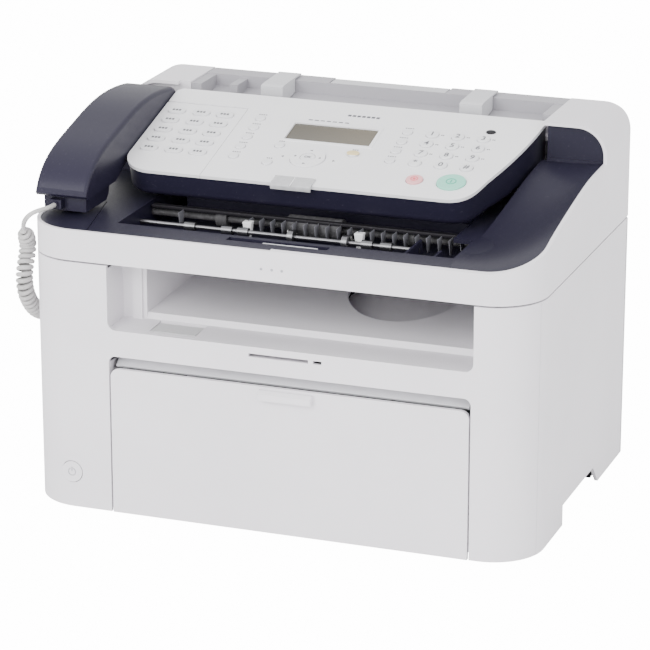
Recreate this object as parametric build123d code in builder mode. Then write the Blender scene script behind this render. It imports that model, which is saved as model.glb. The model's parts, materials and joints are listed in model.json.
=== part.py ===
from build123d import *
import math
import os

os.makedirs("parts", exist_ok=True)

# ---- driving dimensions, millimetres; X right, -Y front, +Z up, origin under the middle ----
half_width = 186.0
front_y = -124.5
back_y = 124.5
seam_z = 184.0  # joint between the lower body and the upper unit
seam_gap = 0.6  # half of the open line at that joint
band_top = 206.6  # top of the white band at the front
hood_top = 266.0
wall = 2.5
corner_radius = 37.0  # front corners in plan
rear_radius = 10.0
shoulder_radius = 22.0  # rounded shoulders of the rear hood
hood_front = 52.0  # front edge of the hood on the right
cradle_back = 72.4  # front edge of the hood on the left, behind the handset
side_split = -99.8  # where the front panel meets the side panels
rear_split = 112.0
panel_bottom = 2.0
clear = 0.4

slot_x = (-121.0, 145.0)  # paper output opening
slot_z = 137.0
door_x = (-120.5, 143.6)  # paper tray opening
door_open_z = 118.0
door_top_z = 109.0
door_axis = (-118.0, 8.0)  # Y and Z of the tray door's pins
door_pin = 2.0
feed_x = 11.5  # middle of the paper path

panel_tilt = 15.0  # slope of the control panel, degrees
panel_front = (-45.0, 231.0)  # Y and Z of the plate's front edge
plate_depth = 119.0
plate_thick = 2.4
key_rise = 1.3
key_gap = 0.35

hinge_y = 122.0
hinge_z = 184.0
knuckle_r = 2.5
pin_r = 1.2
running = 0.06

coil_d = 13.0  # outer diameter of the curly cord
lead_d = 4.0


def save(piece, name):
    piece.label = name
    export_step(piece, f"parts/{name}.step")


def span_box(low, high, mode=Mode.ADD):
    # a box between two corners, inside the open part
    size = [b - a for a, b in zip(low, high)]
    middle = [(a + b) / 2 for a, b in zip(low, high)]
    with Locations(tuple(middle)):
        Box(*size, mode=mode)


def rod_x(x0, x1, y, z, radius, mode=Mode.ADD):
    # a round bar along X, inside the open part
    with Locations(Location(((x0 + x1) / 2, y, z), (0, 90, 0))):
        Cylinder(radius, x1 - x0, mode=mode)


def plan(inset):
    # the body's outline seen from above, moved inwards by inset
    left = -half_width + inset
    right = half_width - inset
    low = front_y + inset
    high = back_y - inset
    front = corner_radius - inset
    rear = rear_radius - inset
    with BuildSketch(mode=Mode.PRIVATE) as outline:
        with BuildLine():
            FilletPolyline(
                (left, low), (right, low), (right, high), (left, high),
                radius=[front, front, rear, rear], close=True,
            )
        make_face()
    return outline.sketch


def body_ring(z0, z1):
    # the wall of the lower body between two heights
    with BuildPart(mode=Mode.PRIVATE) as ring:
        with BuildSketch(Plane.XY.offset(z0)):
            add(plan(0))
            add(plan(wall), mode=Mode.SUBTRACT)
        extrude(amount=z1 - z0)
    return ring.part


lower_top = seam_z - seam_gap
upper_bottom = seam_z + seam_gap
rear_top = seam_z - 2.0
hinge_spans = (-150.0, 150.0)
knuckle_w = 12.0

lower_ring = body_ring(panel_bottom, lower_top)

# ================= lower body =================

with BuildPart() as front_panel:
    add(lower_ring)
    span_box((-200, side_split, 0), (200, 130, 200), Mode.SUBTRACT)
    span_box((slot_x[0], -130, slot_z), (slot_x[1], -110, 200), Mode.SUBTRACT)
    span_box((door_x[0], -130, 0), (door_x[1], -110, door_open_z), Mode.SUBTRACT)
    # manual feed slot, its short neighbour and the power button hole
    span_box((-16.0, -130, 129.7), (27.5, -110, 132.1), Mode.SUBTRACT)
    span_box((31.0, -130, 129.7), (37.2, -110, 132.1), Mode.SUBTRACT)
    with Locations(Location((-150.6, front_y, 28.2), (90, 0, 0))):
        Cylinder(8.2, 12, mode=Mode.SUBTRACT)
    # guide lips behind the manual feed slot
    span_box((-18.0, front_y + wall, 127.2), (29.5, front_y + 12, 129.2))
    slot_corners = front_panel.edges().filter_by(Axis.Y).filter_by(
        lambda e: abs(e.center().Z - slot_z) < 0.1 and abs(e.center().X) > 100
    )
    fillet(slot_corners, 6.0)
    door_corners = front_panel.edges().filter_by(Axis.Y).filter_by(
        lambda e: abs(e.center().Z - door_open_z) < 0.1 and abs(e.center().X) > 100
    )
    fillet(door_corners, 5.0)
    # jambs that turn inwards round the door opening
    for x0, x1 in ((door_x[0] - 2, door_x[0]), (door_x[1], door_x[1] + 2)):
        span_box((x0, front_y + 1.5, 14), (x1, front_y + 16, door_open_z - 5))
    span_box((door_x[0] + 5, front_y + 1.5, door_open_z), (door_x[1] - 5, front_y + 16, door_open_z + 2))
    # bearings for the tray door's pins
    for inner, outer in ((door_x[0] - 0.7, door_x[0] - 6), (door_x[1] + 0.7, door_x[1] + 6)):
        x0, x1 = sorted((inner, outer))
        span_box((x0, front_y + 2, 3), (x1, door_axis[0] + 4, 13))
        rod_x(x0 - 1, x1 + 1, *door_axis, door_pin + running, Mode.SUBTRACT)
save(front_panel.part, "front_panel")

notch_y = (-41.0, 51.0)
notch_z = 17.0
for side, sign in (("left", -1), ("right", 1)):
    with BuildPart() as side_panel:
        add(lower_ring)
        span_box((-200, -130, 0), (200, side_split + clear, 200), Mode.SUBTRACT)
        span_box((-200, rear_split, 0), (200, 130, 200), Mode.SUBTRACT)
        away = sorted((sign * 170, -sign * 200))
        span_box((away[0], -130, 0), (away[1], 130, 200), Mode.SUBTRACT)
        # grip notch under the edge, with a sloping rear end
        with BuildSketch(Plane.YZ):
            with BuildLine():
                Polyline(
                    (notch_y[0], -1), (notch_y[0], notch_z), (notch_y[1] - 14, notch_z),
                    (notch_y[1], panel_bottom), (notch_y[1], -1), close=True,
                )
            make_face()
        extrude(amount=200, both=True, mode=Mode.SUBTRACT)
        if sign < 0:
            # window for the line jacks and slits for air
            span_box((-190, 72, 30), (-170, 104, 46), Mode.SUBTRACT)
            with Locations(*[Location((-half_width, 70 + 6 * i, 150)) for i in range(6)]):
                Box(12, 2.2, 36, mode=Mode.SUBTRACT)
    save(side_panel.part, f"{side}_side_panel")

with BuildPart() as rear_panel:
    add(lower_ring)
    span_box((-200, -130, rear_top), (200, 130, 200), Mode.SUBTRACT)
    span_box((-200, -130, 0), (200, rear_split + clear, 200), Mode.SUBTRACT)
    span_box((120, 115, 24), (152, 130, 50), Mode.SUBTRACT)
    with Locations(*[Location((-60 + 8 * i, back_y, 120)) for i in range(16)]):
        Box(3, 12, 40, mode=Mode.SUBTRACT)
    for x in hinge_spans:
        # room for the upper knuckle, then two ears and the pin between them
        reach = 1.5 * knuckle_w + clear
        rod_x(x - reach, x + reach, hinge_y, hinge_z, 3.0, Mode.SUBTRACT)
        for ear in (x - knuckle_w, x + knuckle_w):
            rod_x(ear - knuckle_w / 2, ear + knuckle_w / 2, hinge_y, hinge_z, knuckle_r)
            span_box((ear - knuckle_w / 2, back_y - wall, 180), (ear + knuckle_w / 2, back_y, hinge_z))
        rod_x(x - knuckle_w / 2 - 1, x + knuckle_w / 2 + 1, hinge_y, hinge_z, pin_r)
    # spacers that keep the vents off a wall
    for x in (-110.0, 90.0):
        span_box((x - 8, back_y - 1, 60), (x + 8, back_y + 5, 100))
save(rear_panel.part, "rear_panel")

frame_x = (-129.0, 152.5)
pickup_axis = (40.0, 78.0)
drum_axis = (66.0, 122.0)
pickup_r = 4.0
drum_shaft_r = 3.0
with BuildPart() as base_frame:
    span_box((-180, -108, 3), (180, 118, 20))
    with BuildSketch(Plane.XY.offset(3)):
        RectangleRounded(361, 235, 30)
    extrude(amount=17, mode=Mode.INTERSECT)
    span_box((-146, -120, 6), (146, 115, 30), Mode.SUBTRACT)
    for sign in (-1, 1):
        x0, x1 = sorted((sign * 152, sign * 190))
        span_box((x0, -42, 0), (x1, 52, notch_z), Mode.SUBTRACT)
    span_box((-118, -108, 0), (141, -100, 30), Mode.SUBTRACT)
    for x in frame_x:
        span_box((x - 1.5, -96, 5), (x + 1.5, 110, 176))
        span_box((x - 3, -60, 60), (x + 3, -20, 110), Mode.SUBTRACT)
    for axis, radius in ((pickup_axis, pickup_r), (drum_axis, drum_shaft_r)):
        rod_x(-140, 160, *axis, radius + running, Mode.SUBTRACT)
    # cross wall behind the paper tray, joined to both side plates
    span_box((frame_x[0], 84, 5), (frame_x[1], 86.5, 70))
save(base_frame.part, "base_frame")

with BuildPart() as rubber_feet:
    with Locations(*[Location((x, y, 1.5)) for x in (-164, 164) for y in (-80, 90)]):
        Cylinder(8, 3)
    fillet(rubber_feet.faces().sort_by(Axis.Z)[:4].edges(), 0.8)
save(rubber_feet.part, "rubber_feet")

# tub under the output opening: front strip, step up to the paper bed, thumb recess, side and back walls
tub_x = (slot_x[0] - 2.2, slot_x[1] + 2.2)
bed_back = 4.0
with BuildPart() as output_tray:
    with BuildSketch(Plane.YZ.offset(tub_x[0])):
        with BuildLine():
            Polyline(
                (-121.6, 134.2), (-121.6, 137.0), (-96, 138.6), (-94.5, 143), (bed_back, 158),
                (bed_back, 181), (bed_back + 2.2, 181), (bed_back + 2.2, 153), (-90, 138.4), (-96, 134.2),
                close=True,
            )
        make_face()
    extrude(amount=tub_x[1] - tub_x[0])
    for x0, x1 in ((tub_x[0], slot_x[0]), (slot_x[1], tub_x[1])):
        span_box((x0, -121.6, 134.2), (x1, bed_back + 2.2, 181))
    # block on the left whose slanted wall guides the sheets, with a raised strip on its front
    with BuildSketch(Plane.XY.offset(134.2)):
        with BuildLine():
            Polyline((tub_x[0], -95.8), (-103, -95.8), (-89, bed_back), (tub_x[0], bed_back), close=True)
        make_face()
    extrude(amount=46.8)
    span_box((-113.4, -97.6, 138), (-106.0, -95.0, 181))
    # thumb recess, half of it under the paper exit
    with BuildSketch(Plane.XY.offset(144.4)):
        with Locations((64, -14)):
            Ellipse(43, 54)
        with Locations((64, 60)):
            Rectangle(120, 120, mode=Mode.SUBTRACT)
    extrude(amount=40, mode=Mode.SUBTRACT)
    with BuildSketch(Plane.XY.offset(142.2)):
        with Locations((64, -14)):
            Ellipse(44.5, 55.5)
        with Locations((64, 62)):
            Rectangle(120, 124, mode=Mode.SUBTRACT)
    extrude(amount=2.2)
    # well for the pop-up stopper
    span_box((-92.4, -117.4, 130), (-57.6, -97.0, 150), Mode.SUBTRACT)
    span_box((-94.4, -119.4, 132.0), (-55.6, -95.0, 133.6))
    for x0, x1 in ((-94.4, -92.4), (-57.6, -55.6)):
        span_box((x0, -119.4, 133.0), (x1, -95.0, 136.0))
save(output_tray.part, "output_tray")

with BuildPart() as output_stopper:
    span_box((-91.6, -116.6, 135.4), (-58.4, -99.0, 137.4))
    rod_x(-91.6, -58.4, -99.6, 136.2, 1.3)
save(output_stopper.part, "output_stopper")

tray_x = (-117.5, 140.6)
with BuildPart() as paper_tray:
    span_box((tray_x[0], -106.5, 8), (tray_x[1], 60, 10.4))
    for x0 in (tray_x[0], tray_x[1] - 2):
        span_box((x0, -106.5, 8), (x0 + 2, 60, 60))
    span_box((tray_x[0], 58, 8), (tray_x[1], 60, 60))
    # slots that the paper guides run in
    for sign in (-1, 1):
        for y in (-60, 0):
            x0, x1 = sorted((feed_x + sign * 40, feed_x + sign * 124))
            span_box((x0, y - 2, 7), (x1, y + 2, 12), Mode.SUBTRACT)
    # cover over the tray, sloping down behind the door's top edge
    with BuildSketch(Plane.YZ.offset(tray_x[0])):
        with BuildLine():
            Polyline(
                (-118.5, 109.6), (-111, 115.4), (-40, 115.4), (-40, 113.4), (-110.3, 113.4), (-117.3, 108),
                close=True,
            )
        make_face()
    extrude(amount=tray_x[1] - tray_x[0])
    for x0 in (tray_x[0], tray_x[1] - 2):
        span_box((x0, -106.5, 58), (x0 + 2, -40, 114))
save(paper_tray.part, "paper_tray")

for side, sign in (("left", -1), ("right", 1)):
    inner = feed_x + sign * 108.5
    outer = inner + sign * 12
    with BuildPart() as paper_guide:
        span_box((min(inner, inner + sign * 2), -90, 10.8), (max(inner, inner + sign * 2), 40, 42))
        span_box((min(inner, outer), -90, 10.8), (max(inner, outer), 40, 12.8))
        for y in (-60, 0):
            span_box((min(inner, outer) + 1, y - 1.6, 7.5), (max(inner, outer) - 1, y + 1.6, 11))
    save(paper_guide.part, f"paper_guide_{side}")

with BuildPart() as tray_door:
    span_box((door_x[0] + 1.2, front_y, 1.8), (door_x[1] - 1.2, front_y + 3, door_top_z))
    top_corners = tray_door.edges().filter_by(Axis.Y).filter_by(lambda e: e.center().Z > door_top_z - 1)
    fillet(top_corners, 6.0)
    for x in (door_x[0] + 9, door_x[1] - 9, feed_x - 45, feed_x + 45):
        span_box((x - 1, front_y + 2, 14), (x + 1, front_y + 7, door_top_z - 8))
    # pull tab at the top edge: a lip with closed ends
    for x0, width, back in ((-8.0, 39.0, 101.8), (-8.0, 1.6, 100.6), (29.4, 1.6, 100.6)):
        with BuildSketch(Plane.YZ.offset(x0)):
            with BuildLine():
                Polyline(
                    (front_y + 2, 107.6), (front_y - 2.6, 107.2), (front_y - 5, 105.2),
                    (front_y - 5, 100.6), (front_y - 3.4, 100.6), (front_y - 3.4, back + 2.4),
                    (front_y + 2, back + 2.4), close=True,
                )
            make_face()
        extrude(amount=width)
    tab_ends = tray_door.edges().filter_by(Axis.Z).filter_by(
        lambda e: abs(e.center().Y - front_y + 5) < 0.1
    )
    fillet(tab_ends, 1.4)
    # hinge arms and stub pins
    for x in (door_x[0] + 4, door_x[1] - 4):
        span_box((x - 1.5, front_y + 2, 4.6), (x + 1.5, door_axis[0] + 2.5, 11.4))
        rod_x(x - 1.5, x + 1.5, *door_axis, 3.4)
    rod_x(door_x[0] - 4, door_x[0] + 5, *door_axis, door_pin)
    rod_x(door_x[1] - 5, door_x[1] + 4, *door_axis, door_pin)
save(tray_door.part, "tray_door")

button_x = -150.6
button_z = 28.2
with BuildPart() as power_button:
    with Locations(Location((button_x, front_y + 4.2, button_z), (90, 0, 0))):
        Cylinder(7.7, 9)
    with Locations(Location((button_x, front_y + 6.2, button_z), (90, 0, 0))):
        Cylinder(9.6, 3)
save(power_button.part, "power_button")

with BuildPart() as pickup_roller:
    rod_x(frame_x[0] - 3, frame_x[1] + 3, *pickup_axis, pickup_r)
    rod_x(feed_x - 22, feed_x + 22, *pickup_axis, 14)
    for x in (feed_x - 30, feed_x + 30):
        rod_x(x - 3, x + 3, *pickup_axis, 9)
save(pickup_roller.part, "pickup_roller")

with BuildPart() as toner_cartridge:
    with BuildSketch(Plane.YZ.offset(feed_x - 122)):
        with BuildLine():
            Polyline(
                (10, 128), (10, 150), (72, 150), (80, 140), (80, 122), (54, 122), (54, 108), (24, 108),
                close=True,
            )
        make_face()
        with Locations(drum_axis):
            Circle(13.5, mode=Mode.SUBTRACT)
    extrude(amount=244)
    span_box((feed_x - 40, 8, 138), (feed_x + 40, 22, 146))
save(toner_cartridge.part, "toner_cartridge")

gear_teeth = 36
gear_root = 23.5
gear_tip = 26.5
with BuildPart() as imaging_drum:
    rod_x(feed_x - 118, feed_x + 118, *drum_axis, 12)
    rod_x(frame_x[0] - 3, frame_x[1] + 3, *drum_axis, drum_shaft_r)
    with BuildSketch(Plane.YZ.offset(frame_x[1] - 12)):
        with Locations(drum_axis):
            Circle(gear_root)
    extrude(amount=6)
    with BuildSketch(Plane.YZ.offset(frame_x[1] - 12)):
        with Locations(drum_axis):
            with PolarLocations((gear_root + gear_tip) / 2, gear_teeth):
                Rectangle(gear_tip - gear_root + 1, 2.2)
    extrude(amount=6)
save(imaging_drum.part, "imaging_drum")

fuser_axis = (96.0, 158.0)
with BuildPart() as fuser_unit:
    span_box((feed_x - 120, 82, 140), (feed_x + 120, 108, 176))
    rod_x(feed_x - 114, feed_x + 114, *fuser_axis, 9.5, Mode.SUBTRACT)
    span_box((feed_x - 114, 90, 150), (feed_x + 114, 104, 180), Mode.SUBTRACT)
    rod_x(feed_x - 121, feed_x + 121, *fuser_axis, 3 + running, Mode.SUBTRACT)
save(fuser_unit.part, "fuser_unit")

with BuildPart() as fuser_roller:
    rod_x(feed_x - 112, feed_x + 112, *fuser_axis, 8)
    rod_x(feed_x - 120, feed_x + 120, *fuser_axis, 3)
save(fuser_roller.part, "fuser_roller")

with BuildPart() as laser_scanner:
    span_box((feed_x - 90, -60, 86), (feed_x + 60, 16, 108))
    with Locations((feed_x - 15, -22, 109.5)):
        Cylinder(22, 4)
    fillet(laser_scanner.edges().filter_by(Axis.Z).group_by(SortBy.LENGTH)[-1], 6)
save(laser_scanner.part, "laser_scanner")

with BuildPart() as main_board:
    span_box((160, -70, 30), (161.6, 90, 140))
    for y, z, h in ((-40, 60, 20), (10, 100, 26), (50, 50, 16)):
        span_box((161.6, y, z), (166, y + h, z + h))
save(main_board.part, "main_board")

with BuildPart() as drive_motor:
    rod_x(168.0, 180.0, 96, 60, 16)
    span_box((165.5, 76, 40), (168.0, 116 - 5, 80))
save(drive_motor.part, "drive_motor")

with BuildPart() as socket_board:
    # mains inlet at the back
    span_box((121, 108, 25), (151, back_y, 49))
    span_box((124, 112, 28), (148, back_y + 1, 46), Mode.SUBTRACT)
    for x in (130, 136, 142):
        span_box((x - 1, 110, 36), (x + 1, back_y - 3, 40))
    # two line jacks on the left
    for y in (73, 89.5):
        span_box((-half_width, y, 31), (-170, y + 13.5, 45))
        span_box((-half_width - 1, y + 2, 33), (-173, y + 11.5, 42), Mode.SUBTRACT)
save(socket_board.part, "socket_board")

with BuildPart() as cover_screws:
    for x in (-168, 168):
        for z in (40, 150):
            with Locations(Location((x, back_y + 0.8, z), (90, 0, 0))):
                Cylinder(3.2, 1.6)
save(cover_screws.part, "cover_screws")

# ================= upper unit =================

rim = [
    (front_y, band_top), (-101, 215.0), (-77, 222.0), (-56, 226.4), (-35, 230.4), (-14, 234.0), (8, 237.2),
    (26, 238.6),
]


def side_cut(top_points):
    # everything above a line in the side view, for cutting away
    with BuildSketch(Plane.YZ, mode=Mode.PRIVATE) as cut:
        with BuildLine():
            line = Spline(*top_points)
            Polyline(
                line @ 1, (hood_front, 239.5), (hood_front, 300), (-140, 300), (-140, band_top), line @ 0
            )
        make_face()
    return cut.sketch


def hood_profile(inset):
    # front view of the hood with rounded shoulders
    left = -half_width + inset
    right = half_width - inset
    top = hood_top - inset
    round_r = shoulder_radius - inset
    with BuildSketch(Plane.XZ, mode=Mode.PRIVATE) as view:
        with BuildLine():
            FilletPolyline(
                (left, 150), (right, 150), (right, top), (left, top),
                radius=[0, 0, round_r, round_r], close=True,
            )
        make_face()
    return view.sketch


def body_block(inset, z0):
    # the upper body's outer or inner form, before the front is cut down
    front_view = hood_profile(inset)
    with BuildPart(mode=Mode.PRIVATE) as block:
        with BuildSketch(Plane.XY.offset(z0)):
            add(plan(inset))
        extrude(amount=100)
        extrude(front_view, amount=200, both=True, mode=Mode.INTERSECT)
    return block.part


rim_cut = side_cut(rim)
hood_wall_y = 76.5
with BuildSketch(Plane.XZ.offset(-hood_wall_y - 2.5), mode=Mode.PRIVATE) as wall_view:
    with BuildLine():
        FilletPolyline(
            (-140.0, 206.8), (-140.0, hood_top - 1.5), (-half_width + 1.5, hood_top - 1.5),
            (-half_width + 1.5, 206.8), radius=[0, 0, 20.5, 0], close=True,
        )
    make_face()
left_wall = wall_view.sketch
outer_block = body_block(0, upper_bottom)
inner_block = body_block(wall, upper_bottom - 5)
tray_half = 139.0
with BuildPart() as upper_cover:
    add(outer_block)
    add(inner_block, mode=Mode.SUBTRACT)
    # the front is cut down along the rim on the right and level on the left
    extrude(rim_cut, amount=200, mode=Mode.SUBTRACT)
    span_box((-200, -140, band_top), (0, cradle_back, 300), Mode.SUBTRACT)
    span_box((-147.5, -140, band_top), (0, hood_wall_y, 300), Mode.SUBTRACT)
    # front wall of the hood behind the handset
    extrude(left_wall, amount=2.5)
    # open top for the document tray, and the cheek walls beside it
    span_box((-tray_half, 20, 230), (tray_half, 140, 300), Mode.SUBTRACT)
    span_box((-tray_half - 2.2, hood_wall_y, 228), (-tray_half, 121.9, hood_top - 1))
    span_box((tray_half, 66, 228), (tray_half + 2.2, 121.9, hood_top - 1))
    span_box((-tray_half - 2.2, 121.6, 228), (tray_half + 2.2, back_y, 240))
    for x in hinge_spans:
        reach = 1.5 * knuckle_w + clear
        half = knuckle_w / 2 - clear
        rod_x(x - reach, x + reach, hinge_y, hinge_z, 2.9, Mode.SUBTRACT)
        rod_x(x - half, x + half, hinge_y, hinge_z, knuckle_r)
        span_box((x - half, back_y - wall, hinge_z), (x + half, back_y, 189))
        rod_x(x - knuckle_w, x + knuckle_w, hinge_y, hinge_z, pin_r + running, Mode.SUBTRACT)
    # jack opening in the left wall
    span_box((-190, 37, 190), (-180, 51, 200), Mode.SUBTRACT)
save(upper_cover.part, "upper_cover")

deck_top = band_top - 0.4
deck_inset = wall + 0.15
well_x = (-124.0, 121.0)
well_y = (-96.0, -20.0)
roller_axis = (-33.0, 197.5)
roller_shaft_r = 2.5
delivery_axis = (-56.0, 196.5)
delivery_r = 1.6
cheek_thick = 3.0


def cheek_section(y, x_low, z_low, z_high):
    # one cross-section of the rising right side of the deck
    right = half_width - deck_inset
    with BuildSketch(Plane.XZ.offset(-y), mode=Mode.PRIVATE) as section:
        with BuildLine():
            low = (x_low, z_low)
            high = (right, z_high)
            mid = ((x_low + right) / 2 + 6, (z_low + z_high) / 2 - (z_high - z_low) * 0.16 - 0.3)
            under = [(x, z - cheek_thick) for x, z in (high, mid, low)]
            ThreePointArc(low, mid, high)
            Line(high, under[0])
            ThreePointArc(*under)
            Line(under[2], low)
        make_face()
    return section.sketch


with BuildPart(mode=Mode.PRIVATE) as cheek:
    loft([
        cheek_section(-123.0, 124.5, deck_top - 0.1, deck_top + 0.4),
        cheek_section(-84.0, 124.5, deck_top + 0.2, 219.6),
        cheek_section(-30.0, 124.5, 208.6, 230.8),
        cheek_section(8.0, 130.6, 222.6, 236.7),
        cheek_section(hood_front + 3, 138.4, 237.6, 238.6),
    ])
    with BuildSketch(Plane.XY.offset(190)):
        add(plan(deck_inset))
    extrude(amount=100, mode=Mode.INTERSECT)

with BuildPart() as top_deck:
    # flat deck with the feed well
    with BuildSketch(Plane.XY.offset(deck_top - 3)):
        add(plan(deck_inset))
    extrude(amount=3)
    span_box((well_x[0], well_y[0], 195), (well_x[1], 60, 220), Mode.SUBTRACT)
    span_box((-140, hood_wall_y - 2, 195), (200, 130, 220), Mode.SUBTRACT)
    span_box((-200, hood_wall_y + 4, 195), (-139, 130, 220), Mode.SUBTRACT)
    span_box((-38.5, -108.0, deck_top - 2.2), (35.0, -101.0, 220), Mode.SUBTRACT)
    # strip of deck beside the paper path, under the panel
    span_box((107.0, -52.0, deck_top - 3), (well_x[1] + 1, 60, deck_top))
    # walls and floor of the well
    span_box((well_x[0] - 2, well_y[0] - 2, 188), (well_x[0], 60, deck_top))
    span_box((well_x[1], well_y[0] - 2, 188), (well_x[1] + 2, 60, deck_top))
    span_box((well_x[0] - 2, well_y[0] - 2, 188), (well_x[1] + 2, well_y[0], deck_top))
    span_box((well_x[0] - 2, well_y[0] - 2, 186.5), (well_x[1] + 2, 60, 188.5))
    # sloping feed bed under the panel
    with BuildSketch(Plane.YZ.offset(-108)):
        with BuildLine():
            Polyline((-8, 188), (-8, 204), (68, 240), (68, 236), (-4, 200), (-4, 188), close=True)
        make_face()
    extrude(amount=216)
    # partitions at the right end of the well; the first one carries the delivery shaft
    for x, back in ((83.0, -50.0), (86.0 + 18.0, -70.0)):
        span_box((x - 0.9, well_y[0], 188), (x + 0.9, back, 202.5))
    rod_x(well_x[0] - 4, 90, *delivery_axis, delivery_r + running, Mode.SUBTRACT)
    rod_x(well_x[0] - 4, well_x[1] + 4, *roller_axis, roller_shaft_r + running, Mode.SUBTRACT)
    # rising cheek on the right, its back wall and the cheek's inner wall
    add(cheek.part)
    with BuildSketch(Plane.XZ.offset(-hood_front - 5.5)):
        with BuildLine():
            FilletPolyline(
                (141.6, 219), (141.6, 262.6), (182.8, 262.6), (182.8, 219), radius=[0, 0, 19.0, 0], close=True
            )
        make_face()
    extrude(amount=2.5)
    span_box((141.6, hood_front + 2, 219), (182.8, hood_front + 5.5, 240))
    # cradle blocks and the socket under the handset
    span_box((-183.2, 34, deck_top - 1), (-150, 70, 221.0))
    span_box((-179, 39, 215), (-155, 68, 230), Mode.SUBTRACT)
    # opening for the hook switch
    span_box((-176.5, -77, 195), (-165.5, -57, 220), Mode.SUBTRACT)
    # seam of the cradle piece
    with BuildSketch(Plane.XY.offset(deck_top - 0.8)):
        with BuildLine():
            Polyline((-134.9, -130), (-134.2, -130), (-152.4, -50), (-153.1, -50), close=True)
        make_face()
    extrude(amount=3, mode=Mode.SUBTRACT)
save(top_deck.part, "top_deck")

tray_front = 72.0
panel_axis = (68.0, 255.0)  # Y and Z of the control panel's hinge
panel_pin = 1.3
hinge_lugs = (-110.0, 110.0)
with BuildPart() as document_tray:
    with BuildSketch(Plane.YZ.offset(-tray_half + clear)):
        with BuildLine():
            Polyline(
                (tray_front, 247), (tray_front, 250), (107, 256.5), (107, 265.6), (back_y, 265.6),
                (back_y, 241), (121, 241), (121, 262), (109.5, 262), (109.5, 253.5), close=True,
            )
        make_face()
    extrude(amount=2 * (tray_half - clear))
    # raised blocks at both ends and the ribs between the pockets
    for sign in (-1, 1):
        x0, x1 = sorted((sign * 131.0, sign * (tray_half - clear)))
        span_box((x0, tray_front + 5, 249), (x1, 108, 264.8))
    span_box((-112, 86, 250), (-106, 108, 263.6))
    # lugs that the control panel turns on
    for x in hinge_lugs:
        span_box((x - 1.5, 67, 250.6), (x + 1.5, tray_front + 4, 255.4))
        span_box((x - 1.5, tray_front + 0.5, 248), (x + 1.5, tray_front + 4, 252))
        rod_x(x - 1.5, x + 1.5, *panel_axis, 2.6)
        rod_x(x - 2, x + 2, *panel_axis, panel_pin + running, Mode.SUBTRACT)
    # gap for the fold-up extension
    span_box((-42.4, 108.6, 258), (48.4, 130, 270), Mode.SUBTRACT)
    # tracks of the document guides
    for sign in (-1, 1):
        x0, x1 = sorted((sign * 54.0, sign * 104.0))
        span_box((x0, 92, 245), (x1, 96, 262), Mode.SUBTRACT)
save(document_tray.part, "document_tray")

for side, sign in (("left", -1), ("right", 1)):
    x0, x1 = sorted((sign * 68.0, sign * 85.0))
    with BuildPart() as document_guide:
        with BuildSketch(Plane.YZ.offset(x0)):
            with BuildLine():
                Polyline(
                    (80, 252.4), (80, 266.2), (83, 267.2), (118, 268.4), (120, 267.6),
                    (120, 266.1), (106.2, 266.1), (106.2, 257.2), close=True,
                )
            make_face()
        extrude(amount=x1 - x0)
        span_box((x0 + 3, 92.6, 247), (x1 - 3, 95.4, 258))
        fillet(document_guide.edges().filter_by(Axis.Y).group_by(Axis.Z)[-1], 1.2)
    save(document_guide.part, f"document_guide_{side}")

extension_axis = (122.0, 262.6)
with BuildPart() as tray_extension:
    span_box((-41.4, 109.2, 263.4), (47.4, 122.6, 265.4))
    rod_x(-41.4, 47.4, *extension_axis, 1.7)
    span_box((-41.4, 109.2, 262.0), (47.4, 110.8, 265.4))
save(tray_extension.part, "tray_extension")

with BuildPart() as feed_roller:
    rod_x(well_x[0] - 2.5, well_x[1] + 2.5, *roller_axis, roller_shaft_r)
    rod_x(-20, 20, *roller_axis, 8)
    for x in (-70, 70):
        rod_x(x - 4, x + 4, *roller_axis, 6)
save(feed_roller.part, "feed_roller")

with BuildPart() as delivery_shaft:
    rod_x(well_x[0] - 2.5, 84.0, *delivery_axis, delivery_r)
    for x in (-86, -58, -46, 46, 60):
        rod_x(x - 4, x + 4, *delivery_axis, 3.2)
    for x in (-10, 30):
        rod_x(x - 2, x + 2, *delivery_axis, 5.0)
save(delivery_shaft.part, "delivery_shaft")

with BuildPart() as hook_switch:
    with BuildSketch(Plane.YZ.offset(-175.5)):
        with BuildLine():
            Polyline(
                (-75, 197), (-75, 206.4), (-72, 208.4), (-63, 208.4), (-59, 206.4), (-59, 197), close=True
            )
        make_face()
    extrude(amount=9)
save(hook_switch.part, "hook_switch")

jack_y = 43.5
jack_x = -195.5
coil_x = -196.0
jack_bottom = 182.0
with BuildPart() as handset_jack:
    # bracket through the wall, housing outside it, plug from below
    span_box((-half_width, 37.5, 190.5), (-179, 50.5, 199.5))
    span_box((-201.0, 35.5, 188), (-half_width, 52.5, 203))
    fillet(handset_jack.edges().filter_by(Axis.Z).group_by(Axis.X)[0], 3)
    span_box((jack_x - 3.5, jack_y - 5, jack_bottom), (jack_x + 3.5, jack_y + 5, 188))
save(handset_jack.part, "handset_jack")

# ================= handset =================

handset_x = (-186.0, -146.8)
with BuildPart() as handset_shell:
    with BuildSketch(Plane.YZ.offset(handset_x[0])):
        with BuildLine():
            Spline((-97.2, 226.6), (-94.4, 231.2), (-41.2, 256.6), (2.8, 266.0), (60, 264.8))
            ThreePointArc((60, 264.8), (67.6, 260.5), (70.5, 251))
            Polyline((70.5, 251), (70, 236), (38, 240))
            ThreePointArc((38, 240), (-6, 236.5), (-46, 221.2))
            Polyline((-46, 221.2), (-94.6, 220.4), (-97.2, 222.6), (-97.2, 226.6))
        make_face()
    extrude(amount=handset_x[1] - handset_x[0])
    upper_edges = handset_shell.edges().filter_by(lambda e: e.center().Z > 243 and e.length > 100)
    fillet(upper_edges, 3.0)
save(handset_shell.part, "handset_shell")

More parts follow.
